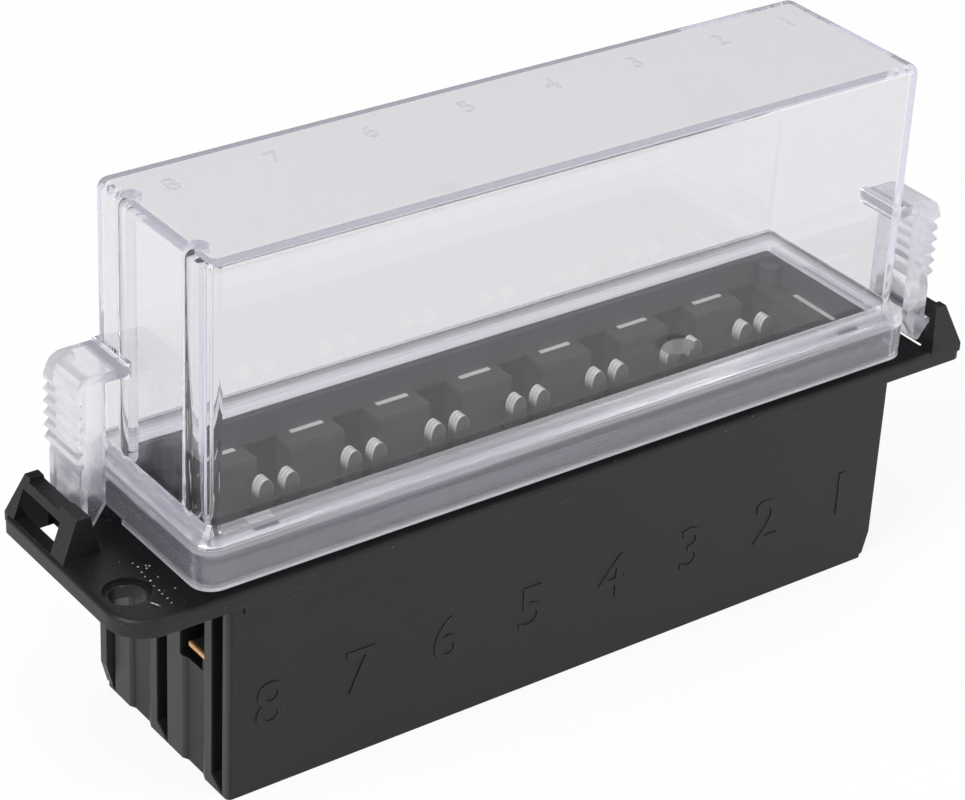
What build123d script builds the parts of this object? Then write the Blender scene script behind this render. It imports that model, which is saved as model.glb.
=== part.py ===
from build123d import *
import os

os.makedirs("parts", exist_ok=True)

# Sizes are in millimetres. X runs along the row of fuses, Y to the back, Z up, and the
# origin is the middle of the housing's underside. The outside looks the same after half a
# turn about Z, so what stands at an end is given once: "out" is counted outward from the
# housing's end face, and "loop side" is the side of that end which carries the catch
# loop, the back on the left end and the front on the right end. Only the inside differs:
# the cover's left end has two ribs, and the rim's right back corner has a post.

# Fuse positions, and the distance between the two blades of a fuse
position_count = 8
pitch = 15.3
blade_spacing = 13.9

# Housing body below the flange
end_margin = 6.75
housing_width = 34.0
housing_height = 32.65
housing_corner = 0.8
bead_height = 1.4
bead_reach = 0.25
bead_end = 2.5

# Flange with its two mounting ears
flange_thickness = 2.85
ear_reach = 16.2
flange_lip = 0.55
hole_corner = 6.0
loop_corner = 1.5
flange_edge_round = 0.8
mount_hole_radius = 2.65
mount_dish_radius = 3.5
mount_dish_depth = 0.8
mount_hole_out = 11.4
mount_hole_side = 9.15

# Rim around the fuse bay, and the ledge inside it
rim_end_gap = 0.75
rim_inner_width = 25.6
rim_wall = 1.8
rim_height = 6.7
rim_corner = 2.0
ledge_height = 2.2
post_radius = 1.9
post_set = 1.2
post_drop = 1.0

# Trough that holds the forks, and the slots cut back from it to the rear wall
trough_floor = 30.0
trough_front_margin = 4.0
trough_rear_margin = 1.75
trough_end_margin = 4.4
trough_corner = 1.0
slot_left = 1.7
slot_right = 4.2
nub_width = 1.3
nub_length = 2.2
nub_drop = 1.3

# Forks: two peaked prongs side by side that grip one blade between them. The rise and the
# two drops are those of the sharp corners, before the peaks and shoulders are rounded.
fork_width = 8.3
fork_slot = 1.1
fork_peak = 2.7
fork_peak_round = 0.9
fork_shoulder_drop = 2.8
fork_shoulder_round = 1.5
fork_lead_in = 4.0
fork_thickness = 1.9
fork_rise = 6.4
fork_fit = 0.05

# Terminals of the rear row, each in a shaft that opens into the wire bay
shaft_top = 27.5
shaft_clearance = 0.3
shaft_depth = 5.2
terminal_shoulder = 0.4
terminal_bottom = 12.0
crimp_width = 6.0
crimp_length = 3.4
crimp_wing = 2.4
crimp_sheet = 0.8
wire_bay_wall = 3.0
wire_bay_height = 14.0

# Bus bar of the front row, lying in a tunnel that opens at the left end
tunnel_bottom = 17.9
tunnel_rear_margin = 2.95
tunnel_front_margin = 3.45
bus_sheet = 0.7
bus_height = 20.35
bus_reach = 3.35
bus_rest = 1.0
bus_end_set = 0.3

# Bright plates that stand at the foot of the inner walls. The first one is short, because
# it stands in the corner.
plate_length = 5.6
first_plate_length = 2.4
plate_sheet = 0.8
plate_depth = 3.6
plate_proud = 0.1
plate_offset = 3.3
end_plate_length = 9.6
end_plate_centre = 1.3

# Relief of the end faces: deep channels, each with a ridge and a shallow panel beside it
relief_start = -15.5
relief_pitch = 15.0
relief_count = 3
channel_width = 3.0
channel_depth = 1.9
channel_foot = 2.0
ridge_width = 1.7
panel_near_ramp = 1.3
panel_width = 3.9
panel_far_ramp = 0.9
panel_depth = 0.5
rib_width = 1.7
rib_reach = 1.0
rib_foot = 0.8
rib_ramp = 3.8

# Catch loops on the ears: two legs and the bar that the latch hooks under
loop_out = 9.6
loop_foot = 6.15
loop_head = 2.1
loop_head_shift = 1.7
loop_height = 6.5
loop_side = 0.9
loop_gap_start = 4.4
loop_gap = 10.5
loop_bar = 1.9
loop_lean = 2.0
loop_saddle = 0.7
loop_saddle_margin = 0.9
window_out = 9.4
window_depth = 4.3

# Clear cover. It rests on the rim on four low pads.
cover_top = 85.8
cover_wall = 1.5
cover_corner = 1.9
cover_inner_corner = 0.6
cover_edge_round = 1.6
cover_end_set = 1.25
cover_side_set = 2.5
cover_seat = 0.2
seat_pad_length = 4.0
seat_pad_set = 8.0
skirt_wall = 1.45
skirt_end_clearance = 0.3
skirt_side_clearance = 1.1
skirt_gap = 1.0
skirt_corner = 3.4
skirt_inner_corner = 2.0
shoulder_start = 0.9
shoulder_rise = 2.7
end_rib_radius = 1.5
end_rib_reach = 2.2
end_rib_side = 8.6
end_rib_start = 1.0
notch_height = 0.9
notch_margin = 0.7

# Latch arms, which hang from the cover's end walls and hook under the loops' bars
latch_width = 9.0
latch_length = 21.35
latch_play = 0.6
latch_sheet = 1.3
latch_cheek = 1.2
latch_body = 3.8
latch_shelf = 1.6
latch_crown = 2.6
latch_toe = 3.5
barb_reach = 1.7
barb_gap = 0.25
barb_face = 0.3
tooth_count = 6
tooth_pitch = 1.93
tooth_depth = 1.3
tooth_root = 0.5
tooth_first = 3.5
hinge_out = 1.1
hinge_clearance = 0.05
hinge_lip = 0.35

# Worked out from the sizes above
half_length = (position_count - 1) * pitch / 2 + end_margin
half_width = housing_width / 2
flange_half_width = half_width + flange_lip
flange_top = housing_height + flange_thickness
ledge_top = flange_top + ledge_height
rim_top = flange_top + rim_height
rim_inner_x = half_length + rim_end_gap
rim_inner_y = rim_inner_width / 2
row_y = blade_spacing / 2
fork_top = trough_floor + fork_rise
fork_shoulder = fork_top - fork_shoulder_drop
position_x = [(k - (position_count - 1) / 2) * pitch for k in range(position_count)]
plate_lengths = [first_plate_length] + [plate_length] * (position_count - 1)
trough_front = -row_y - trough_front_margin
trough_rear = row_y + trough_rear_margin
trough_half = position_x[-1] + trough_end_margin
bay_x = half_length - wire_bay_wall
bay_y = half_width - wire_bay_wall
tunnel_front = -row_y - tunnel_front_margin
tunnel_rear = -row_y + tunnel_rear_margin
tunnel_end = position_x[-1] + fork_width / 2 + shaft_clearance
loop_top = flange_top + loop_height
bar_underside = loop_top - loop_bar
bar_face_out = loop_out + loop_head_shift * (bar_underside - flange_top) / loop_height
cover_x = rim_inner_x + cover_end_set
cover_y = rim_inner_y + cover_side_set
skirt_inner_x = rim_inner_x + rim_wall + skirt_end_clearance
skirt_inner_y = rim_inner_y + rim_wall + skirt_side_clearance
skirt_bottom = flange_top + skirt_gap
latch_middle = loop_gap_start + loop_gap / 2
latch_face = bar_face_out - latch_play
barb_top = bar_underside - barb_gap
latch_top = barb_top + latch_length
cover_out = cover_x - half_length
hinge_x = cover_out + hinge_out
hinge_z = latch_top - latch_shelf / 2


def plan_at(end, height):
    """Level plane at an end: x counted outward, y away from the loop side."""
    return Plane(origin=(end * half_length, 0, height), x_dir=(end, 0, 0), z_dir=(0, 0, 1))


def profile_at(end, side=0):
    """Upright plane across an end: x outward, y up, its normal towards the loop side."""
    return Plane(origin=(end * half_length, -end * side, 0), x_dir=(end, 0, 0), z_dir=(0, -end, 0))


def face_at(end, out=0):
    """Plane on an end face: x towards the loop side, y up, its normal inward."""
    return Plane(origin=(end * (half_length + out), 0, 0), x_dir=(0, -end, 0), z_dir=(-end, 0, 0))


def front_at(y):
    """Upright plane facing the front at depth y: x along the row, y up."""
    return Plane.XZ.offset(-y)


def fork_outline(x, foot):
    """Corners of a fork about x, anticlockwise: shoulders, peaks, and the slot between."""
    right_half = [
        (fork_width / 2, foot),
        (fork_width / 2, fork_shoulder),
        (fork_peak, fork_top),
        (fork_slot / 2, fork_top - fork_lead_in),
        (fork_slot / 2, shaft_top),
    ]
    left_half = [(-side, height) for side, height in reversed(right_half)]
    return [(x + side, height) for side, height in right_half + left_half]


def round_forks(outline):
    """Rounds the peaks and the shoulders of the forks in a sketch."""
    corners = outline.vertices()
    shoulders = [v for v in corners if abs(v.Y - fork_shoulder) < fork_fit]
    fillet(shoulders, fork_shoulder_round)
    fillet(outline.vertices().group_by(Axis.Y)[-1], fork_peak_round)


# Housing: one moulding with the flange, the rim, the trough and the two catch loops.
with BuildPart() as housing:
    # Flange first, so that its upper edge can be rounded all round
    with BuildSketch(Plane.XY.offset(housing_height)) as flange_outline:
        Rectangle(2 * (half_length + ear_reach), 2 * flange_half_width)
        hole_ends = flange_outline.vertices().filter_by(lambda v: v.X * v.Y > 0)
        fillet(hole_ends, hole_corner)
        loop_ends = flange_outline.vertices().filter_by(
            lambda v: v.X * v.Y < 0 and abs(v.X) > half_length + ear_reach - loop_corner / 2
        )
        fillet(loop_ends, loop_corner)
    extrude(amount=flange_thickness)
    fillet(housing.faces().sort_by(Axis.Z)[-1].edges(), flange_edge_round)

    # Body, with a low bead under the flange along the front and the back
    with BuildSketch(Plane.XY):
        RectangleRounded(2 * half_length, housing_width, housing_corner)
    extrude(amount=housing_height)
    with BuildSketch(Plane.XY.offset(housing_height - bead_height)):
        Rectangle(2 * (half_length - bead_end), housing_width + 2 * bead_reach)
    extrude(amount=bead_height)

    # Rim, filled up to the ledge that runs round inside it
    with BuildSketch(Plane.XY.offset(flange_top)):
        RectangleRounded(
            2 * (rim_inner_x + rim_wall), 2 * (rim_inner_y + rim_wall), rim_corner + rim_wall
        )
    extrude(amount=rim_height)
    with BuildSketch(Plane.XY.offset(ledge_top)):
        RectangleRounded(2 * rim_inner_x, 2 * rim_inner_y, rim_corner)
    extrude(amount=rim_top - ledge_top, mode=Mode.SUBTRACT)

    # Trough, and behind each fork a slot to the rear wall with a nub in its corner
    with BuildSketch(Plane.XY.offset(trough_floor)):
        with Locations((0, (trough_front + trough_rear) / 2)):
            RectangleRounded(2 * trough_half, trough_rear - trough_front, trough_corner)
    extrude(amount=ledge_top - trough_floor, mode=Mode.SUBTRACT)
    with BuildSketch(Plane.XY.offset(trough_floor)):
        with Locations(*[(x - slot_left, trough_rear - trough_corner) for x in position_x]):
            Rectangle(
                slot_left + slot_right,
                rim_inner_y - trough_rear + trough_corner,
                align=(Align.MIN, Align.MIN),
            )
    extrude(amount=ledge_top - trough_floor, mode=Mode.SUBTRACT)
    with BuildSketch(Plane.XY.offset(trough_floor)):
        with Locations(*[(x - slot_left, rim_inner_y) for x in position_x]):
            Rectangle(nub_width, nub_length, align=(Align.MIN, Align.MAX))
    extrude(amount=ledge_top - nub_drop - trough_floor)

    # Wire bay, open below, with a shaft up from it to each rear fork
    with BuildSketch(Plane.XY):
        Rectangle(2 * bay_x, 2 * bay_y)
    extrude(amount=wire_bay_height, mode=Mode.SUBTRACT)
    with BuildSketch(Plane.XY.offset(wire_bay_height)):
        with Locations(*[(x, row_y) for x in position_x]):
            Rectangle(fork_width + 2 * (terminal_shoulder + shaft_clearance), shaft_depth)
    extrude(amount=shaft_top - wire_bay_height, mode=Mode.SUBTRACT)
    with BuildSketch(Plane.XY.offset(shaft_top)):
        with GridLocations(pitch, blade_spacing, position_count, 2):
            Rectangle(fork_width + 2 * fork_fit, fork_thickness + 2 * fork_fit)
    extrude(amount=trough_floor - shaft_top, mode=Mode.SUBTRACT)

    # Bus bar's tunnel: its front edge keeps a rest for the strip
    with BuildSketch(Plane.XY.offset(bus_height)):
        with Locations((-half_length, tunnel_front)):
            Rectangle(
                half_length + tunnel_end, tunnel_rear - tunnel_front, align=(Align.MIN, Align.MIN)
            )
    extrude(amount=shaft_top - bus_height, mode=Mode.SUBTRACT)
    with BuildSketch(Plane.XY.offset(tunnel_bottom)):
        with Locations((-half_length, tunnel_front + bus_rest)):
            Rectangle(
                half_length + tunnel_end,
                tunnel_rear - tunnel_front - bus_rest,
                align=(Align.MIN, Align.MIN),
            )
    extrude(amount=bus_height - tunnel_bottom, mode=Mode.SUBTRACT)

    # Post in the right back corner of the rim
    with BuildSketch(Plane.XY.offset(flange_top)):
        with Locations((rim_inner_x - post_set, rim_inner_y - post_set)):
            Circle(post_radius)
    extrude(amount=rim_height - post_drop)

    # Pockets for the bright plates
    with BuildSketch(Plane.XY.offset(ledge_top + plate_proud - plate_depth)):
        for x, length in zip(position_x, plate_lengths):
            with Locations((x - plate_offset, rim_inner_y)):
                Rectangle(length, plate_sheet, align=(Align.MAX, Align.MAX))
        with Locations((rim_inner_x, end_plate_centre)):
            Rectangle(plate_sheet, end_plate_length, align=(Align.MAX, Align.CENTER))
    extrude(amount=plate_depth, mode=Mode.SUBTRACT)

    for end in (-1, 1):
        # End relief: channels whose foot slopes, and shallow panels that ramp out again
        for i in range(relief_count):
            start = relief_start + i * relief_pitch
            with BuildSketch(face_at(end)):
                with BuildLine():
                    Polyline(
                        (start, 0),
                        (start + channel_width, channel_foot),
                        (start + channel_width, housing_height),
                        (start, housing_height),
                        close=True,
                    )
                make_face()
            extrude(amount=channel_depth, mode=Mode.SUBTRACT)
        for i in range(relief_count - 1):
            start = relief_start + i * relief_pitch + channel_width + ridge_width
            floor_start = start + panel_near_ramp
            floor_end = floor_start + panel_width
            with BuildSketch(plan_at(end, 0)):
                with BuildLine():
                    Polyline(
                        (0, -start),
                        (-panel_depth, -floor_start),
                        (-panel_depth, -floor_end),
                        (0, -floor_end - panel_far_ramp),
                        close=True,
                    )
                make_face()
            extrude(amount=housing_height, mode=Mode.SUBTRACT)

        # Corner rib with a ramped foot
        with BuildSketch(profile_at(end, half_width - rib_width)):
            with BuildLine():
                Polyline(
                    (-channel_depth, 0),
                    (0, rib_foot),
                    (rib_reach, rib_foot + rib_ramp),
                    (rib_reach, housing_height),
                    (-channel_depth, housing_height),
                    close=True,
                )
            make_face()
        extrude(amount=rib_width)

        # Catch loop: legs that taper upward and the bar across them
        with BuildSketch(profile_at(end, loop_side)):
            with BuildLine():
                Polyline(
                    (loop_out, flange_top - flange_thickness / 2),
                    (loop_out, flange_top),
                    (loop_out + loop_head_shift, loop_top),
                    (loop_out + loop_head_shift + loop_head, loop_top),
                    (loop_out + loop_foot, flange_top),
                    (loop_out + loop_foot, flange_top - flange_thickness / 2),
                    close=True,
                )
            make_face()
        extrude(amount=flange_half_width - loop_side)
        with BuildSketch(face_at(end, ear_reach)):
            with BuildLine():
                Polyline(
                    (flange_half_width, flange_top),
                    (flange_half_width, loop_top),
                    (flange_half_width - loop_lean, loop_top),
                    close=True,
                )
            make_face()
            with Locations((loop_gap_start + loop_gap / 2, flange_top)):
                Rectangle(loop_gap, bar_underside - flange_top, align=(Align.CENTER, Align.MIN))
            with Locations((loop_gap_start + loop_gap / 2, loop_top)):
                Rectangle(loop_gap - 2 * loop_saddle_margin, 2 * loop_saddle)
        extrude(amount=ear_reach - loop_out, mode=Mode.SUBTRACT)
        with BuildSketch(plan_at(end, housing_height)):
            with Locations((window_out, -loop_gap_start)):
                Rectangle(window_depth, loop_gap, align=(Align.MIN, Align.MAX))
        extrude(amount=flange_thickness, mode=Mode.SUBTRACT)

        # Mounting hole with a shallow dish
        with Locations(plan_at(end, flange_top)):
            with Locations((mount_hole_out, mount_hole_side)):
                CounterBoreHole(
                    mount_hole_radius, mount_dish_radius, mount_dish_depth, flange_thickness
                )
housing.part.label = "housing"
export_step(housing.part, "parts/housing.step")


# Bus bar: a strip along the tunnel with the front row of forks standing on its rear edge.
with BuildPart() as bus_bar:
    with BuildSketch(Plane.XY.offset(bus_height)):
        with Locations((-half_length + bus_end_set, -row_y + fork_thickness / 2)):
            Rectangle(
                half_length - bus_end_set + position_x[-1] + fork_width / 2,
                bus_reach + fork_thickness / 2,
                align=(Align.MIN, Align.MAX),
            )
    extrude(amount=bus_sheet)
    with BuildSketch(front_at(-row_y)) as fork_row:
        for x in position_x:
            Polygon(*fork_outline(x, bus_height), align=None)
        round_forks(fork_row)
    extrude(amount=fork_thickness / 2, both=True)
bus_bar.part.label = "bus_bar"
export_step(bus_bar.part, "parts/bus_bar.step")


def build_contact(k):
    """Terminal of rear position k: a fork, shoulders under the shaft's roof, an open crimp."""
    x = position_x[k]
    with BuildPart() as contact:
        with BuildSketch(front_at(row_y)) as fork:
            Polygon(*fork_outline(x, wire_bay_height), align=None)
            round_forks(fork)
            with Locations((x, shaft_top)):
                Rectangle(
                    fork_width + 2 * terminal_shoulder,
                    shaft_top - wire_bay_height,
                    align=(Align.CENTER, Align.MAX),
                )
            with Locations((x, wire_bay_height)):
                Rectangle(
                    crimp_width, wire_bay_height - terminal_bottom, align=(Align.CENTER, Align.MAX)
                )
        extrude(amount=fork_thickness / 2, both=True)
        # Crimp: a floor and two wings that close round the wire
        with BuildSketch(Plane.XY.offset(terminal_bottom - crimp_length)):
            with Locations((x, row_y + fork_thickness / 2)):
                Rectangle(crimp_width, fork_thickness + crimp_wing, align=(Align.CENTER, Align.MAX))
            with Locations((x, row_y + fork_thickness / 2 - crimp_sheet)):
                Rectangle(
                    crimp_width - 2 * crimp_sheet,
                    fork_thickness + crimp_wing,
                    align=(Align.CENTER, Align.MAX),
                    mode=Mode.SUBTRACT,
                )
        extrude(amount=crimp_length)
    return contact.part


for k in range(position_count):
    contact_part = build_contact(k)
    contact_part.label = f"output_contact_{k + 1}"
    export_step(contact_part, f"parts/output_contact_{k + 1}.step")


# Plates of the rear wall, and the one of the right end wall
for number, (x, length) in enumerate(zip(position_x, plate_lengths), start=1):
    with BuildPart() as wall_plate:
        with BuildSketch(Plane.XY.offset(ledge_top + plate_proud - plate_depth)):
            with Locations((x - plate_offset, rim_inner_y)):
                Rectangle(length, plate_sheet, align=(Align.MAX, Align.MAX))
        extrude(amount=plate_depth)
    wall_plate.part.label = f"wall_plate_{number}"
    export_step(wall_plate.part, f"parts/wall_plate_{number}.step")

with BuildPart() as end_plate:
    with BuildSketch(Plane.XY.offset(ledge_top + plate_proud - plate_depth)):
        with Locations((rim_inner_x, end_plate_centre)):
            Rectangle(plate_sheet, end_plate_length, align=(Align.MAX, Align.CENTER))
    extrude(amount=plate_depth)
end_plate.part.label = "end_plate"
export_step(end_plate.part, "parts/end_plate.step")


# Cover: a deep clear box whose shoulder sits on the rim and whose skirt hangs round it.
with BuildPart() as cover:
    skirt_top = rim_top + shoulder_start
    wall_foot = skirt_top + shoulder_rise
    with BuildSketch(Plane.XY.offset(skirt_bottom)):
        RectangleRounded(
            2 * (skirt_inner_x + skirt_wall), 2 * (skirt_inner_y + skirt_wall), skirt_corner
        )
    extrude(amount=skirt_top - skirt_bottom)
    with BuildSketch(Plane.XY.offset(skirt_top)):
        RectangleRounded(
            2 * (skirt_inner_x + skirt_wall), 2 * (skirt_inner_y + skirt_wall), skirt_corner
        )
    with BuildSketch(Plane.XY.offset(wall_foot)):
        RectangleRounded(2 * cover_x, 2 * cover_y, cover_corner)
    loft()
    with BuildSketch(Plane.XY.offset(wall_foot)):
        RectangleRounded(2 * cover_x, 2 * cover_y, cover_corner)
    extrude(amount=cover_top - wall_foot)
    fillet(cover.faces().sort_by(Axis.Z)[-1].edges(), cover_edge_round)
    with BuildSketch(Plane.XY.offset(skirt_bottom)):
        RectangleRounded(2 * skirt_inner_x, 2 * skirt_inner_y, skirt_inner_corner)
    extrude(amount=rim_top + cover_seat - skirt_bottom, mode=Mode.SUBTRACT)
    with BuildSketch(Plane.XY.offset(rim_top)):
        RectangleRounded(
            2 * (cover_x - cover_wall), 2 * (cover_y - cover_wall), cover_inner_corner
        )
    extrude(amount=cover_top - cover_wall - rim_top, mode=Mode.SUBTRACT)

    # Pads that rest on the rim, near the ends of its long sides
    with BuildSketch(Plane.XY.offset(rim_top)):
        with GridLocations(
            2 * (rim_inner_x - seat_pad_set), 2 * (rim_inner_y + rim_wall / 2), 2, 2
        ):
            Rectangle(seat_pad_length, rim_wall)
    extrude(amount=cover_seat)

    # Two half-round ribs up the inside of the left end wall, with rounded lower ends
    rib_places = [
        (cover_wall + end_rib_reach - end_rib_radius - cover_x, side * end_rib_side)
        for side in (-1, 1)
    ]
    rib_bottom = rim_top + end_rib_start + end_rib_radius
    with BuildSketch(Plane.XY.offset(rib_bottom)):
        with Locations(*rib_places):
            Circle(end_rib_radius)
    extrude(amount=cover_top - cover_wall / 2 - rib_bottom)
    with Locations(*[(x, y, rib_bottom) for x, y in rib_places]):
        Sphere(end_rib_radius)

    for end in (-1, 1):
        # Skirt stands higher behind the latch
        with BuildSketch(face_at(end, skirt_inner_x + skirt_wall - half_length)):
            with Locations((latch_middle, skirt_bottom)):
                Rectangle(
                    latch_width + 2 * notch_margin, notch_height, align=(Align.CENTER, Align.MIN)
                )
        extrude(amount=skirt_wall, mode=Mode.SUBTRACT)

        # Root of the latch: a lip on the end wall with a round seat for the arm's shelf
        with BuildSketch(profile_at(end, latch_middle - latch_width / 2)):
            with Locations((cover_out - cover_wall / 2, hinge_z)):
                Rectangle(
                    cover_wall / 2 + hinge_out,
                    latch_shelf + 2 * (hinge_clearance + hinge_lip),
                    align=(Align.MIN, Align.CENTER),
                )
            with Locations((hinge_x, hinge_z)):
                Circle(latch_shelf / 2 + hinge_clearance, mode=Mode.SUBTRACT)
        extrude(amount=latch_width)
cover.part.label = "cover"
export_step(cover.part, "parts/cover.step")


def build_latch(end):
    """Latch arm: a channel open to the cover, ribbed outside, with a barb at its foot."""
    root = latch_face - tooth_root
    inner = latch_face - latch_body
    toe = barb_top - latch_toe
    shelf_under = latch_top - latch_shelf
    teeth = []
    for i in range(tooth_count):
        tip = latch_top - tooth_first - i * tooth_pitch
        teeth.append((root + tooth_depth, tip))
        teeth.append((root, tip - tooth_root))
    with BuildPart() as latch:
        with BuildSketch(profile_at(end, latch_middle - latch_width / 2)) as outline:
            with BuildLine():
                Polyline(
                    (hinge_x, latch_top),
                    (root, latch_top),
                    *teeth,
                    (latch_face, teeth[-1][1] - tooth_pitch),
                    (latch_face, barb_top),
                    (latch_face + barb_reach, barb_top),
                    (latch_face + barb_reach, barb_top - barb_face),
                    (latch_face - latch_sheet / 2, toe),
                    (latch_face - latch_sheet, toe),
                    (inner, toe + latch_body),
                    (inner, shelf_under),
                    (hinge_x, shelf_under),
                    close=True,
                )
            make_face()
            crown = outline.vertices().sort_by_distance((root, latch_top, 0))[0]
            fillet(crown, latch_crown)
            with Locations((hinge_x, hinge_z)):
                Circle(latch_shelf / 2)
        extrude(amount=latch_width)
        # Hollow between the two cheeks, open towards the cover
        with BuildSketch(profile_at(end, latch_middle - latch_width / 2 + latch_cheek)):
            with Locations((latch_face - latch_sheet, toe)):
                Rectangle(latch_body, shelf_under - toe, align=(Align.MAX, Align.MIN))
        extrude(amount=latch_width - 2 * latch_cheek, mode=Mode.SUBTRACT)
    return latch.part


for end, name in ((-1, "latch_left"), (1, "latch_right")):
    latch_part = build_latch(end)
    latch_part.label = name
    export_step(latch_part, f"parts/{name}.step")
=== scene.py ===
"""Blade fuse block with a clear latched cover, dressed for rendering. Metres, +Z up."""

import bmesh
import bpy
import numpy as np
from mathutils import Euler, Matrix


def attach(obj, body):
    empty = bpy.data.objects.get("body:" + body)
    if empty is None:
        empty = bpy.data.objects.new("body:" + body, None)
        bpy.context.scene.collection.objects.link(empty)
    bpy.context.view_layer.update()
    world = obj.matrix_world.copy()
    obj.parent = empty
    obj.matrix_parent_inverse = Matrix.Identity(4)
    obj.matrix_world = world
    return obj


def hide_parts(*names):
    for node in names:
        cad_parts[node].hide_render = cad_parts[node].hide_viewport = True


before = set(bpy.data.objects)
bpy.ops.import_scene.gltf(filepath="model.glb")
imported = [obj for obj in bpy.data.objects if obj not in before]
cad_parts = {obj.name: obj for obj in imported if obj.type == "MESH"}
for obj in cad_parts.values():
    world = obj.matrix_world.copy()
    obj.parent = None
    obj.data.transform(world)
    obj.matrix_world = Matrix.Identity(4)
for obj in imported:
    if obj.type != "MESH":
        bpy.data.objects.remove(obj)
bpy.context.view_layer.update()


# Camera: where the photograph was taken from, about half a metre away and 30 degrees up.
# It looks across the left end and the front.
photo_width = 965
focal_pixels = 3138.6
camera_data = bpy.data.cameras.new("camera")
camera_data.sensor_width = 36.0
camera_data.lens = focal_pixels * camera_data.sensor_width / photo_width
camera_data.shift_x = 0.00096
camera_data.shift_y = 0.00176
camera_data.clip_start = 0.01
camera = bpy.data.objects.new("camera", camera_data)
camera.location = (-0.25027, -0.32012, 0.27485)
camera.rotation_euler = Euler([np.radians(a) for a in (59.8004, -2.6058, -35.8618)])
bpy.context.collection.objects.link(camera)
bpy.context.scene.camera = camera
bpy.context.scene.view_settings.view_transform = "Standard"


# Studio: a white floor in a pale room, with a soft box up on the left and a larger, weaker
# one in front on the right. The floor shows as white, and keeps the block's shadow.
class Link:
    """A socket of a node tree, with the operators that the materials use."""

    def __init__(self, material, socket):
        self.material = material
        self.socket = socket

    def math(self, operation, other=0.0):
        return self.material.node("ShaderNodeMath", {"operation": operation}, {0: self, 1: other})

    def __add__(self, other):
        return self.math("ADD", other)

    __radd__ = __add__

    def __mul__(self, other):
        return self.math("MULTIPLY", other)

    __rmul__ = __mul__

    def __sub__(self, other):
        return self.math("SUBTRACT", other)

    def __rsub__(self, other):
        return self.material.node("ShaderNodeMath", {"operation": "SUBTRACT"}, {0: other, 1: self})

    def __abs__(self):
        return self.math("ABSOLUTE")

    def either(self, other):
        """The larger of two masks."""
        return self.math("MAXIMUM", other)

    def towards(self, target, share):
        """This value where share is 0, the target where share is 1."""
        return self * (1.0 - share) + share * target

    def above(self, start, width):
        """Smooth ramp from 0 at start to 1 at start + width."""
        settings = {"interpolation_type": "SMOOTHSTEP"}
        sockets = {"Value": self, "From Min": start, "From Max": start + width}
        return self.material.node("ShaderNodeMapRange", settings, sockets)

    def below(self, start, width):
        """Smooth ramp from 1 at start to 0 at start + width."""
        return 1.0 - self.above(start, width)

    def between(self, low, high, width):
        """Rises over the width that starts at low, and falls over the width that starts at high."""
        return self.above(low, width) * self.below(high, width)


class Material:
    """The node tree of a material or a world, built up by expressions on Links."""

    def __init__(self, name, family=bpy.data.materials):
        self.data = family.new(name)
        self.data.use_nodes = True
        self.tree = self.data.node_tree
        self.tree.nodes.clear()
        self.place = self.node("ShaderNodeTexCoord", {}, {}, "Object")

    def node(self, kind, settings, sockets, output=0):
        made = self.tree.nodes.new(kind)
        for key, value in settings.items():
            setattr(made, key, value)
        for key, value in sockets.items():
            if isinstance(value, Link):
                self.tree.links.new(value.socket, made.inputs[key])
            else:
                made.inputs[key].default_value = value
        return Link(self, made.outputs[output])

    def ray(self, kind):
        """What Light Path says of the ray that meets the surface."""
        return self.node("ShaderNodeLightPath", {}, {}, kind)

    def axis(self, letter):
        """One of the object's coordinates, in metres."""
        return self.node("ShaderNodeSeparateXYZ", {}, {"Vector": self.place}, letter)

    def stretched(self, x, y, z):
        """The object's coordinates scaled along each axis, so that noise turns to streaks."""
        return self.node("ShaderNodeMapping", {}, {"Vector": self.place, "Scale": (x, y, z)})

    def noise(self, scale, detail, roughness, place=None):
        sockets = {"Vector": place or self.place, "Scale": scale, "Detail": detail, "Roughness": roughness}
        return self.node("ShaderNodeTexNoise", {}, sockets)

    def mix(self, share, low, high):
        """The low colour where share is 0, the high colour where it is 1."""
        return self.node("ShaderNodeMix", {"data_type": "RGBA"}, {"Factor": share, 6: low, 7: high}, 2)

    def mix_shader(self, share, low, high):
        return self.node("ShaderNodeMixShader", {}, {0: share, 1: low, 2: high})

    def principled(self, sockets):
        return self.node("ShaderNodeBsdfPrincipled", {}, sockets)

    def edges(self, radius):
        """1 on edges and in corners tighter than the radius, 0 on flat faces."""
        rounded = self.node("ShaderNodeBevel", {"samples": 6}, {"Radius": radius})
        flat = self.node("ShaderNodeNewGeometry", {}, {}, "Normal")
        settings = {"operation": "DOT_PRODUCT"}
        alike = self.node("ShaderNodeVectorMath", settings, {0: rounded, 1: flat}, "Value")
        return (1.0 - alike).above(0.01, 0.19)

    def bump(self, height, distance, strength, normal=None):
        sockets = {"Height": height, "Distance": distance, "Strength": strength}
        if normal:
            sockets["Normal"] = normal
        return self.node("ShaderNodeBump", {}, sockets)

    def finish(self, shader, kind="ShaderNodeOutputMaterial"):
        output = self.tree.nodes.new(kind)
        self.tree.links.new(shader.socket, output.inputs["Surface"])
        return self.data


white = (1, 1, 1, 1)
paper_white = 0.86
floor_half = 3.0
floor_in_gloss = 0.35
mesh = bpy.data.meshes.new("floor")
low, high = -floor_half, floor_half
mesh.from_pydata([(low, low, 0), (high, low, 0), (high, high, 0), (low, high, 0)], [], [(0, 1, 2, 3)])
floor = bpy.data.objects.new("floor", mesh)
bpy.context.collection.objects.link(floor)
paper = Material("floor_paper")
matt = paper.node("ShaderNodeBsdfDiffuse", {}, {"Color": (paper_white, paper_white, paper_white, 1)})
glow = paper.node("ShaderNodeEmission", {}, {"Color": white, "Strength": 1.0})
seen = paper.ray("Is Camera Ray").either(paper.ray("Is Transmission Ray"))
seen = seen.either(paper.ray("Is Glossy Ray") * floor_in_gloss)
floor.data.materials.append(paper.finish(paper.mix_shader(seen * 0.86, matt, glow)))

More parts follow.
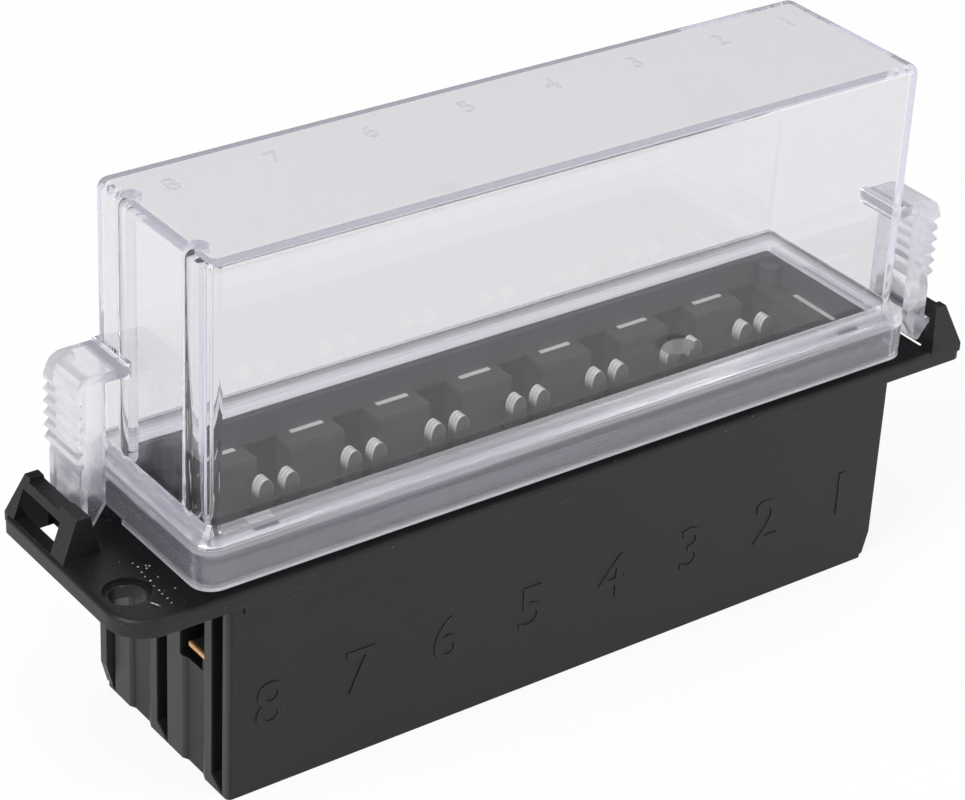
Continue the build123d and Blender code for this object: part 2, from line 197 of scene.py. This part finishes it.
# The room is pale, and dim towards the back in gloss, so that black faces stay black
sky = Material("studio", bpy.data.worlds)
way = sky.node("ShaderNodeTexCoord", {}, {}, "Generated")
backwards = sky.node("ShaderNodeSeparateXYZ", {}, {"Vector": way}, "Y").above(0.1, 0.4)
pale = sky.node("ShaderNodeBackground", {}, {"Color": white, "Strength": 0.75})
dim = sky.node("ShaderNodeBackground", {}, {"Color": white, "Strength": 0.14})
backdrop = sky.node("ShaderNodeBackground", {}, {"Color": white, "Strength": 1.0})
room = sky.mix_shader(backwards * sky.ray("Is Glossy Ray"), pale, dim)
seen = sky.ray("Is Camera Ray").either(sky.ray("Is Transmission Ray"))
bpy.context.scene.world = sky.finish(sky.mix_shader(seen, room, backdrop), "ShaderNodeOutputWorld")


def soft_box(name, place, aim, size, watts):
    """A square lamp that faces the point it is aimed at."""
    data = bpy.data.lights.new(name, "AREA")
    data.size = size
    data.energy = watts
    lamp = bpy.data.objects.new(name, data)
    lamp.location = place
    direction = np.array(aim) - np.array(place)
    tip = np.arctan2(np.hypot(direction[0], direction[1]), -direction[2])
    turn = np.arctan2(-direction[0], direction[1])
    lamp.rotation_euler = Euler((tip, 0.0, turn))
    bpy.context.collection.objects.link(lamp)


block_middle = (0, 0, 0.04)
soft_box("key", (-0.75, -0.15, 0.62), block_middle, 0.5, 6.0)
soft_box("fill", (0.5, -0.7, 0.45), block_middle, 0.6, 3.0)


# Housing: one black moulding in glass-filled nylon, with its flange, rim and catch loops.
# Its skin is satin, faintly mottled, paler where edges have been handled, and a little dusty.
pitch = 0.0153
first_slot = 0.05525
slot_width = 0.0057
slot_front = 0.0080
slot_top = 0.0372
rim_inner_x = 0.0612
rim_inner_y = 0.0129
bay_floor = 0.0292
bay_wall_foot = 0.0380
skirt_gap = (0.0345, 0.0366)
end_face = -0.0602
end_face_top = 0.0322


def black_moulding(name):
    """Satin black plastic: mottled, with wear at the edges, and dusty inside the rim. Painted shade:
    the slots are coloured darker, and the slots, the gap under the cover's skirt and the lower part
    of the bay take a darker, low-gloss copy of the skin. Painted light: the left end face is
    coloured lighter, and the rim's inner walls lighter and lilac."""
    black = Material(name)
    x, y, z = black.axis("X"), black.axis("Y"), black.axis("Z")
    within = abs(x).below(rim_inner_x, 0.0003) * abs(y).below(rim_inner_y, 0.0003)
    within = within * z.above(bay_floor, 0.0007)
    # Painted shade: the slots are coloured darker and take the darker, low-gloss copy below.
    along = (x + first_slot).math("FLOORED_MODULO", pitch)
    slots = along.below(slot_width, 0.0004) * y.above(slot_front, 0.0010) * z.below(slot_top, 0.0008)
    # Painted shadow: the gap under the cover's skirt takes the darker, low-gloss copy.
    gap = z.above(skirt_gap[0], 0.0011) * z.below(skirt_gap[1], 0.0004) * abs(x).below(0.0650, 0.0075)
    # Painted light: the left end face, below the flange, is coloured lighter, as lamp light on that side.
    end = x.below(end_face, 0.0004) * z.below(end_face_top, 0.0004)
    # Painted light: the rim's inner walls are coloured lighter and lilac, as light from the cover.
    walls = within * z.above(bay_wall_foot, 0.0006)
    mottle = black.noise(90.0, 5.0, 0.6)
    grain = black.noise(2600.0, 3.0, 0.6)
    streaks = black.noise(220.0, 4.0, 0.6, black.stretched(0.15, 0.15, 1.0))
    specks = black.noise(1900.0, 2.0, 0.5).above(0.73, 0.03) * z.above(0.033, 0.002)
    film = black.noise(150.0, 5.0, 0.65) * 0.5 + 0.5
    wear_and_highlight = black.edges(0.0004) * black.noise(500.0, 4.0, 0.7).above(0.35, 0.4)
    colour = black.mix(mottle, (0.004, 0.004, 0.0045, 1), (0.010, 0.010, 0.011, 1))
    colour = black.mix(end * 0.9, colour, (0.030, 0.030, 0.031, 1))
    colour = black.mix(wear_and_highlight * 0.6, colour, (0.075, 0.075, 0.075, 1))
    colour = black.mix(within * film, colour, (0.055, 0.055, 0.060, 1))
    colour = black.mix(walls * 0.8, colour, (0.050, 0.050, 0.064, 1))
    colour = black.mix(specks * 0.3, colour, (0.45, 0.45, 0.43, 1))
    colour = black.mix(slots, colour, (0.0035, 0.0028, 0.0025, 1))
    relief = black.bump(grain, 0.00001, 0.25, black.bump(streaks, 0.0001, 0.25))
    skin = {"Base Color": colour, "Normal": relief}
    satin = black.principled({**skin, "Roughness": mottle * 0.16 + 0.36, "Specular IOR Level": 0.33})
    # Painted shade: a copy of the skin with little gloss, darker on black, mixed in where shade is painted.
    painted_shade_copy = black.principled({**skin, "Roughness": 0.7, "Specular IOR Level": 0.04})
    # The lower part of the bay, from x = -20 mm rightwards, is darkened with the same copy.
    darker_bay_floor = within * z.below(slot_top, 0.0014) * x.above(-0.020, 0.050) * 0.4
    return black.finish(black.mix_shader(slots.either(gap * 0.9).either(darker_bay_floor), satin, painted_shade_copy))


def wear(material, *nodes):
    """Puts a material on CAD nodes."""
    for node in nodes:
        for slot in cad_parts[node].material_slots:
            slot.material = material


housing_black = black_moulding("housing_moulding")
wear(housing_black, "housing")


# Contacts: eight terminals at the back and a feed bar with eight forks at the front, in tinned
# brass stamped from thin sheet and pushed into the housing. The three layers of a fork show as
# fine lines on its cut edges. Painted light and shade: the edges are coloured brighter as
# highlights, faces turned to the front and the back are coloured dark, and what stands low in
# the shafts is coloured near black.
tin = Material("tinned_brass")
cloud = tin.noise(400.0, 4.0, 0.6)
# Painted highlight: edges are coloured brighter, as light caught on them.
wear_and_highlight = tin.edges(0.0003)
end_glow = tin.axis("X").below(-0.0599, 0.0005)
facing = tin.node("ShaderNodeNewGeometry", {}, {}, "Normal")
# Painted shade: faces turned to the front and the back are coloured dark.
flat = abs(tin.node("ShaderNodeSeparateXYZ", {}, {"Vector": facing}, "Y")).above(0.75, 0.15)
# Painted shade: below a height of about 32 mm, low in the shafts, the metal is coloured near black and less
# metallic.
shaft_shade = tin.axis("Z").below(0.0322, 0.0021)
colour = tin.mix(cloud, (0.78, 0.76, 0.70, 1), (0.95, 0.93, 0.88, 1))
colour = tin.mix(flat, colour, (0.17, 0.165, 0.145, 1))
colour = tin.mix(wear_and_highlight * 0.5, colour, (0.90, 0.88, 0.82, 1))
colour = tin.mix(shaft_shade, colour, (0.036, 0.036, 0.035, 1))
colour = tin.mix(end_glow * 0.7, colour, (0.85, 0.42, 0.16, 1))
sockets = {"Base Color": colour, "Metallic": (1.0 - shaft_shade) * 0.35, "Roughness": cloud * 0.2 + 0.28}
tinned = tin.finish(tin.principled({**sockets, "Normal": tin.bump(cloud, 0.00005, 0.4)}))


def shell(outline, near, far, axes):
    """A closed prism: the outline's u and v and the length from near to far, laid along axes."""
    ring = np.array(outline)
    count = len(ring)
    points = np.empty((2 * count, 3))
    for row, length in ((0, near), (1, far)):
        part = points[row * count : (row + 1) * count]
        part[:, axes[0]], part[:, axes[1]], part[:, axes[2]] = ring[:, 0], ring[:, 1], length
    i = np.arange(count)
    j = (i + 1) % count
    sides = np.column_stack((i, i + count, j + count, j)).tolist()
    return points, [list(range(count)), list(range(2 * count - 1, count - 1, -1))] + sides


def joined_mesh(name, shells):
    """One mesh from closed shells, with all the normals outward."""
    points, faces = [], []
    for ring, ring_faces in shells:
        start = sum(len(p) for p in points)
        points.append(ring)
        faces += [[start + corner for corner in face] for face in ring_faces]
    mesh = bpy.data.meshes.new(name)
    mesh.from_pydata(np.concatenate(points).tolist(), [], faces)
    outward = bmesh.new()
    outward.from_mesh(mesh)
    bmesh.ops.recalc_face_normals(outward, faces=outward.faces)
    outward.to_mesh(mesh)
    outward.free()
    return mesh


def new_piece(name, mesh, material):
    """A new piece in one material, with its place in its mesh."""
    piece = bpy.data.objects.new(name, mesh)
    piece.data.materials.clear()
    piece.data.materials.append(material)
    bpy.context.collection.objects.link(piece)
    return piece


# Sizes of the contacts in millimetres
first_middle = -53.55
spacing = 15.3
row_depth = 6.95
prong_middle = 2.22
prong_half = 1.33
arch_foot = 33.2
arch_rise = 2.17
prong_gap_bottom = 27.6
layer_pitch = 0.665
layer_half = 0.285
body_half = 4.1
body_bottom = 14.0
body_top = 27.45
sheet_front = 6.0
sheet_back = 7.9
neck_half = 3.0
neck_bottom = 12.0
crimp_bottom = 8.6
terminal_foot = 13.9
bar_left = -60.0
bar_right = 57.7
bar_front = -10.3
bar_back = -6.0
bar_bottom = 20.35
bar_top = 21.05
bar_fork_foot = 21.0


def fork_outline(x, foot):
    """Two arched prongs about x: each arch is prong_middle + prong_half cos t across and
    arch_foot + arch_rise sin t up, for t from 0 to pi, and its legs run down to the foot."""
    t = np.linspace(0, np.pi, 17)
    arch = np.column_stack((prong_middle + prong_half * np.cos(t), arch_foot + arch_rise * np.sin(t)))
    outer_leg = (prong_middle + prong_half, foot)
    inner_leg = (prong_middle - prong_half, prong_gap_bottom)
    right = np.vstack((outer_leg, arch, inner_leg))
    left = right[::-1] * (-1, 1)
    return (np.vstack((right, left)) + (x, 0)) / 1000


def sheets(outline, y):
    """The three layers of a fork about the depth y in mm."""
    depths = [y + step * layer_pitch for step in (-1, 0, 1)]
    return [shell(outline, (d - layer_half) / 1000, (d + layer_half) / 1000, (0, 2, 1)) for d in depths]


def block(low, high):
    """A box between two corners, in mm."""
    (x0, y0, z0), (x1, y1, z1) = np.array(low) / 1000, np.array(high) / 1000
    return shell([(x0, y0), (x1, y0), (x1, y1), (x0, y1)], z0, z1, (0, 1, 2))


# The rear terminals sit a little loose in their shafts, so each fork stands off its place
middles = [first_middle + spacing * k for k in range(8)]
loose = (0.6, 0.45, 0.6, 0.45, 0.3, 0.3, -0.1, -0.55)
crimp = [(-3, -3.35), (-2.2, -3.35), (-2.2, 0.15), (2.2, 0.15)]
crimp += [(2.2, -3.35), (3, -3.35), (3, 0.95), (-3, 0.95)]
for k, (middle, shift) in enumerate(zip(middles, loose), start=1):
    x = middle + shift
    parts = sheets(fork_outline(x, terminal_foot), row_depth)
    parts.append(block((x - body_half, sheet_front, body_bottom), (x + body_half, sheet_back, body_top)))
    around = (np.array(crimp) + (x, row_depth)) / 1000
    parts.append(shell(around, crimp_bottom / 1000, neck_bottom / 1000, (0, 1, 2)))
    parts.append(block((x - neck_half, sheet_front, neck_bottom), (x + neck_half, sheet_back, body_bottom)))
    fork = new_piece(f"terminal_{k}", joined_mesh(f"terminal_{k}", parts), tinned)
    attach(fork, "housing")
    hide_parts(f"output_contact_{k}")
parts = [block((bar_left, bar_front, bar_bottom), (bar_right, bar_back, bar_top))]
for middle in middles:
    parts += sheets(fork_outline(middle, bar_fork_foot), -row_depth)
bar = new_piece("feed_bar", joined_mesh("feed_bar", parts), tinned)
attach(bar, "housing")
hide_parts("bus_bar")


# Plates: flat strips of bright tinned brass, pressed upright into the floor along the foot
# of the rear wall and of the right wall.
bright = Material("bright_plate")
cloud = bright.noise(700.0, 3.0, 0.6)
colour = bright.mix(cloud, (0.80, 0.80, 0.78, 1), (0.93, 0.93, 0.91, 1))
sockets = {"Base Color": colour, "Metallic": 0.35, "Roughness": cloud * 0.2 + 0.3}
metal = bright.principled({**sockets, "Normal": bright.bump(cloud, 0.00003, 0.3)})
wear(bright.finish(metal), "end_plate", *[f"wall_plate_{k}" for k in range(1, 9)])


# Cover: one clear moulding, glossy inside and out, with a faint haze and a scuffed foot. Lamp
# light passes to what is inside. The foot's milky pale bands are partly scuffing and partly painted
# light that stands in for reflections, and a pale lilac glow is painted where rays have bounced
# many times in the walls, as light trapped in the edges.
# Each zone of the foot is given by where it starts to fade and over what width, in metres.
foot_top = (0.0441, 0.0014)
brow_top = (0.0428, 0.0020)
band_top = (0.0426, 0.0004)
skirt_top = (0.0418, 0.0006)
lip_top = (0.0369, 0.0003)
wall_start = (0.0456, 0.0014)
groove = (0.0406, 0.0413, 0.0004)
rear_band_top = (0.0438, 0.0003)
rear_seam = (0.0438, 0.0442, 0.0002)
pad_ends = (0.0503, 0.0555, 0.0003)
pad_top = (0.0424, 0.0001)
left_end = (-0.0640, 0.0010)
inner_drop = 0.0010
milk_dim = (0.24, 0.24, 0.30, 1)
milk_pale = (0.95, 0.95, 1.0, 1)
lilac_white = (0.82, 0.82, 0.95, 1)
deepest_ray = 5.5


def clear_plastic(name, tint, roughness, haze, foot_haze_and_reflection, root=0.0):
    """A clear moulding: it refracts, scatters a share of the light, and lets lamps shine in.

    share scattered = haze (cloud + 1/2) + the foot's share x streaks x what the height adds, and
    level says how pale that light is, from 0, dim, to 1, near white. What the height adds and the
    pale levels of the foot are partly scuffing and partly painted reflected light. A latch also has a
    duller strip at its root, which scatters the share that root gives. Rays that have bounced more
    than deepest_ray times meet a painted pale lilac glow."""
    clear = Material(name)
    waves = clear.noise(60.0, 2.0, 0.5)
    cloud = clear.noise(350.0, 4.0, 0.6)
    streaks = clear.noise(1000.0, 4.0, 0.6, clear.stretched(0.02, 0.02, 1.0)).above(0.3, 0.45) * 0.45 + 0.55
    x, y, height = clear.axis("X"), clear.axis("Y"), clear.axis("Z")
    outer = abs(y).above(0.0148, 0.0004).either(abs(x).above(0.0618, 0.0004))
    foot = (height + (1.0 - outer) * inner_drop).below(*foot_top)
    skirt = height.below(*skirt_top)
    dark_line = height.between(*groove)
    left = x.below(*left_end)
    rear = y.above(0.0126, 0.0006).either(x.above(0.0608, 0.0006)) * (1.0 - outer * skirt)
    far = rear * height.below(*rear_band_top)
    seam = rear * (1.0 - outer) * height.between(*rear_seam)
    pads = abs(x).between(*pad_ends) * height.below(*pad_top) * y.above(0.0100, 0.0010) * (1.0 - outer)
    # Painted reflected light: the foot's added milk, the bright rear band and the pale levels below stand
    # in for reflections and trapped light, besides the scuffing.
    added = foot * (rear * 0.35 + 0.58) - skirt * 0.12 - dark_line * 0.12 - skirt * left * 0.12 + far * 0.12
    scatter = cloud * haze + haze * 0.5 + added * (1.0 - pads) * foot_haze_and_reflection * streaks
    level = (height.below(*brow_top) * 0.34).towards(0.77, height.above(*wall_start))
    level = level.towards(0.70, height.below(*band_top)).towards(0.75, rear)
    level = level.towards(0.30, skirt).towards(0.14, skirt * left).towards(0.08, dark_line)
    level = level.towards(1.0, far).towards(0.1, seam).towards(0.97, height.below(*lip_top))
    if root:
        strip = abs(x).below(0.0646, 0.0004) * height.above(0.0588, 0.0004)
        scatter = scatter + strip * root
        level = level.towards(0.25, strip)
    sockets = {
        "Base Color": tint,
        "Roughness": cloud * (roughness * 0.5) + roughness * 0.75,
        "IOR": 1.49,
        "Transmission Weight": 1.0,
        "Normal": clear.bump(waves, 0.00004, 0.3),
    }
    glass = clear.principled(sockets)
    milks = []
    for shade in (milk_dim, milk_pale):
        front = clear.node("ShaderNodeBsdfDiffuse", {}, {"Color": shade})
        back = clear.node("ShaderNodeBsdfTranslucent", {}, {"Color": shade})
        milks.append(clear.mix_shader(0.5, front, back))
    hazy = clear.mix_shader(scatter, glass, clear.mix_shader(level, *milks))
    open_air = clear.node("ShaderNodeBsdfTransparent", {}, {"Color": (0.94, 0.94, 0.95, 1)})
    # Painted glow: a pale lilac emission, met by rays that have bounced many times, stands in for light
    # trapped in the edges.
    lilac = clear.node("ShaderNodeEmission", {}, {"Color": lilac_white, "Strength": 1.0})
    trapped = clear.ray("Ray Depth").math("GREATER_THAN", deepest_ray)
    body = clear.mix_shader(trapped, hazy, clear.mix_shader(0.55, open_air, lilac))
    through = clear.ray("Is Shadow Ray").either(clear.ray("Is Diffuse Ray"))
    return clear.finish(clear.mix_shader(through, body, open_air))


cover_clear = clear_plastic("cover_clear", (0.885, 0.885, 0.90, 1), 0.02, 0.008, 1.0)
wear(cover_clear, "cover")


# Latches: two sprung arms of the cover's own plastic, with teeth for the thumb. They are
# thicker and less polished than the walls, so they look milky.
latch_clear = clear_plastic("latch_clear", (0.93, 0.93, 0.94, 1), 0.2, 0.20, 0.15, 0.5)
wear(latch_clear, "latch_left", "latch_right")


# Numbers of the eight positions, low on the front face and counted from the right.
# They are moulded with the housing, a fifth of a millimetre proud, in its own black.
def raised_text(name, text, height, depth):
    """Outline of a text as a closed mesh: x along the line, y up, from z = 0 to z = depth."""
    letters = bpy.data.curves.new(name, "FONT")
    letters.body = text
    letters.align_x = "CENTER"
    letters.extrude = depth / 2
    maker = bpy.data.objects.new(name, letters)
    bpy.context.collection.objects.link(maker)
    bpy.context.view_layer.update()
    mesh = bpy.data.meshes.new_from_object(maker.evaluated_get(bpy.context.evaluated_depsgraph_get()))
    bpy.data.objects.remove(maker)
    joined = bmesh.new()
    joined.from_mesh(mesh)
    bmesh.ops.remove_doubles(joined, verts=joined.verts, dist=1e-6)
    bmesh.ops.recalc_face_normals(joined, faces=joined.faces)
    joined.to_mesh(mesh)
    joined.free()
    points = np.empty(3 * len(mesh.vertices))
    mesh.vertices.foreach_get("co", points)
    points = points.reshape(-1, 3)
    low, high = points.min(axis=0), points.max(axis=0)
    points[:, :2] = (points[:, :2] - (low[:2] + high[:2]) / 2) * height / (high[1] - low[1])
    points[:, 2] += depth / 2
    return mesh, points


def place_piece(name, mesh, points, material, body):
    """Sets the mesh's points in place, gives it a material and fixes it to a body."""
    mesh.vertices.foreach_set("co", points.ravel())
    mesh.update()
    piece = new_piece(name, mesh, material)
    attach(piece, body)


front_text_height = 0.0076
front_text_depth = 0.00018
front_text_x = -0.0533
front_text_y = -0.01698
front_text_z = 0.0143
for place in range(8):
    name = f"front_number_{8 - place}"
    mesh, points = raised_text(name, str(8 - place), front_text_height, front_text_depth)
    x = front_text_x + pitch * place
    # x along the row, the text's up is up, its depth comes out of the front face
    standing = np.column_stack((points[:, 0] + x, front_text_y - points[:, 2], points[:, 1] + front_text_z))
    place_piece(name, mesh, standing, housing_black, "housing")


# Numbers on the ceiling of the cover, moulded in the same clear plastic.
# They show only as faint outlines through the top.
top_text_height = 0.0034
top_text_depth = 0.00012
top_text_y = 0.0086
top_text_z = 0.08416
for place, x in enumerate((-0.0539, -0.0373, -0.0215, -0.0047, 0.0105, 0.0261, 0.0424, 0.0560)):
    name = f"cover_number_{8 - place}"
    mesh, points = raised_text(name, str(8 - place), top_text_height, top_text_depth)
    place_piece(name, mesh, points + (x, top_text_y, top_text_z), cover_clear, "cover")


# Mark left where the front wall's runner was cut off: a small frosted oval.
# Its face bulges as 0.045 (1 - r^2) mm from a flat back just clear of the wall.
def dome(across, up, rise, rings=6, turns=40):
    """A closed lens: ring r and turn a give (across r cos a, up r sin a, rise (1 - r^2))."""
    r = np.linspace(0, 1, rings + 1)[1:]
    a = np.linspace(0, 2 * np.pi, turns, endpoint=False)
    height = np.outer(rise * (1 - r**2), np.ones(turns))
    grid = np.stack((across * np.outer(r, np.cos(a)), up * np.outer(r, np.sin(a)), height), axis=-1)
    points = np.vstack(((0, 0, rise), grid.reshape(-1, 3)))
    faces = [[0, 1 + i, 1 + (i + 1) % turns] for i in range(turns)]
    for ring in range(rings - 1):
        low, high = 1 + ring * turns, 1 + (ring + 1) * turns
        faces += [[low + i, high + i, high + (i + 1) % turns, low + (i + 1) % turns] for i in range(turns)]
    faces.append(list(range(len(points) - 1, len(points) - 1 - turns, -1)))
    return points, faces


def turned(points, degrees):
    """The points' first two coordinates, turned by an angle about the origin."""
    turn = np.radians(degrees)
    first = points[:, 0] * np.cos(turn) - points[:, 1] * np.sin(turn)
    second = points[:, 0] * np.sin(turn) + points[:, 1] * np.cos(turn)
    return first, second


mark_x = 0.0186
mark_back = -0.01531
mark_z = 0.0504
mark_across = 0.0034
mark_up = 0.0013
mark_rise = 0.000045
frost = Material("frosted_mark")
grain = frost.noise(900.0, 4.0, 0.6)
sockets = {
    "Base Color": frost.mix(grain, (0.18, 0.185, 0.175, 1), (0.23, 0.235, 0.225, 1)),
    "Roughness": grain * 0.2 + 0.6,
    "Alpha": grain * 0.12 + 0.58,
    "Normal": frost.bump(grain, 0.00002, 0.5),
}
frosted = frost.finish(frost.principled(sockets))
points, faces = dome(mark_across, mark_up, mark_rise)
across, up = turned(points, -15.0)
placed = np.column_stack((across + mark_x, mark_back - points[:, 2], up + mark_z))
oval = new_piece("runner_mark", joined_mesh("runner_mark", [(placed, faces)]), frosted)
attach(oval, "cover")


# Row of tiny pips on the left ear, their tips rubbed pale, and a short scratch beside them.
# They belong to the housing's moulding and stand less than a tenth of a millimetre proud.
ear_top = 0.0355
pip_count = 10
stray_count = 5
rubbed = Material("rubbed_pips")
grain = rubbed.noise(3000.0, 3.0, 0.6)
sockets = {
    "Base Color": rubbed.mix(grain.above(0.35, 0.25), (0.10, 0.10, 0.095, 1), (0.62, 0.62, 0.58, 1)),
    "Roughness": grain * 0.2 + 0.45,
    "Normal": rubbed.bump(grain, 0.00001, 0.4),
}
rubbed_pale = rubbed.finish(rubbed.principled(sockets))
shells = []
rng = np.random.default_rng(7)
along = np.linspace(0, 1, pip_count)
row = np.column_stack((-0.0675 - 0.00055 * along, -0.0036 - 0.0113 * along))
stray_x = rng.uniform(-0.0668, -0.0658, stray_count)
strays = np.column_stack((stray_x, rng.uniform(-0.0120, -0.0040, stray_count)))
for place in np.vstack((row, strays)):
    size = rng.uniform(0.00010, 0.00017)
    points, faces = dome(size * rng.uniform(0.9, 1.4), size, size * 0.5, 3, 12)
    shells.append((points + (*(place + rng.uniform(-0.00015, 0.00015, 2)), ear_top), faces))
points, faces = dome(0.0009, 0.00009, 0.00004, 3, 24)
x, y = turned(points, -65.0)
shells.append((np.column_stack((x - 0.0701, y - 0.0139, points[:, 2] + ear_top)), faces))
pips = new_piece("ear_pips", joined_mesh("ear_pips", shells), rubbed_pale)
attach(pips, "housing")
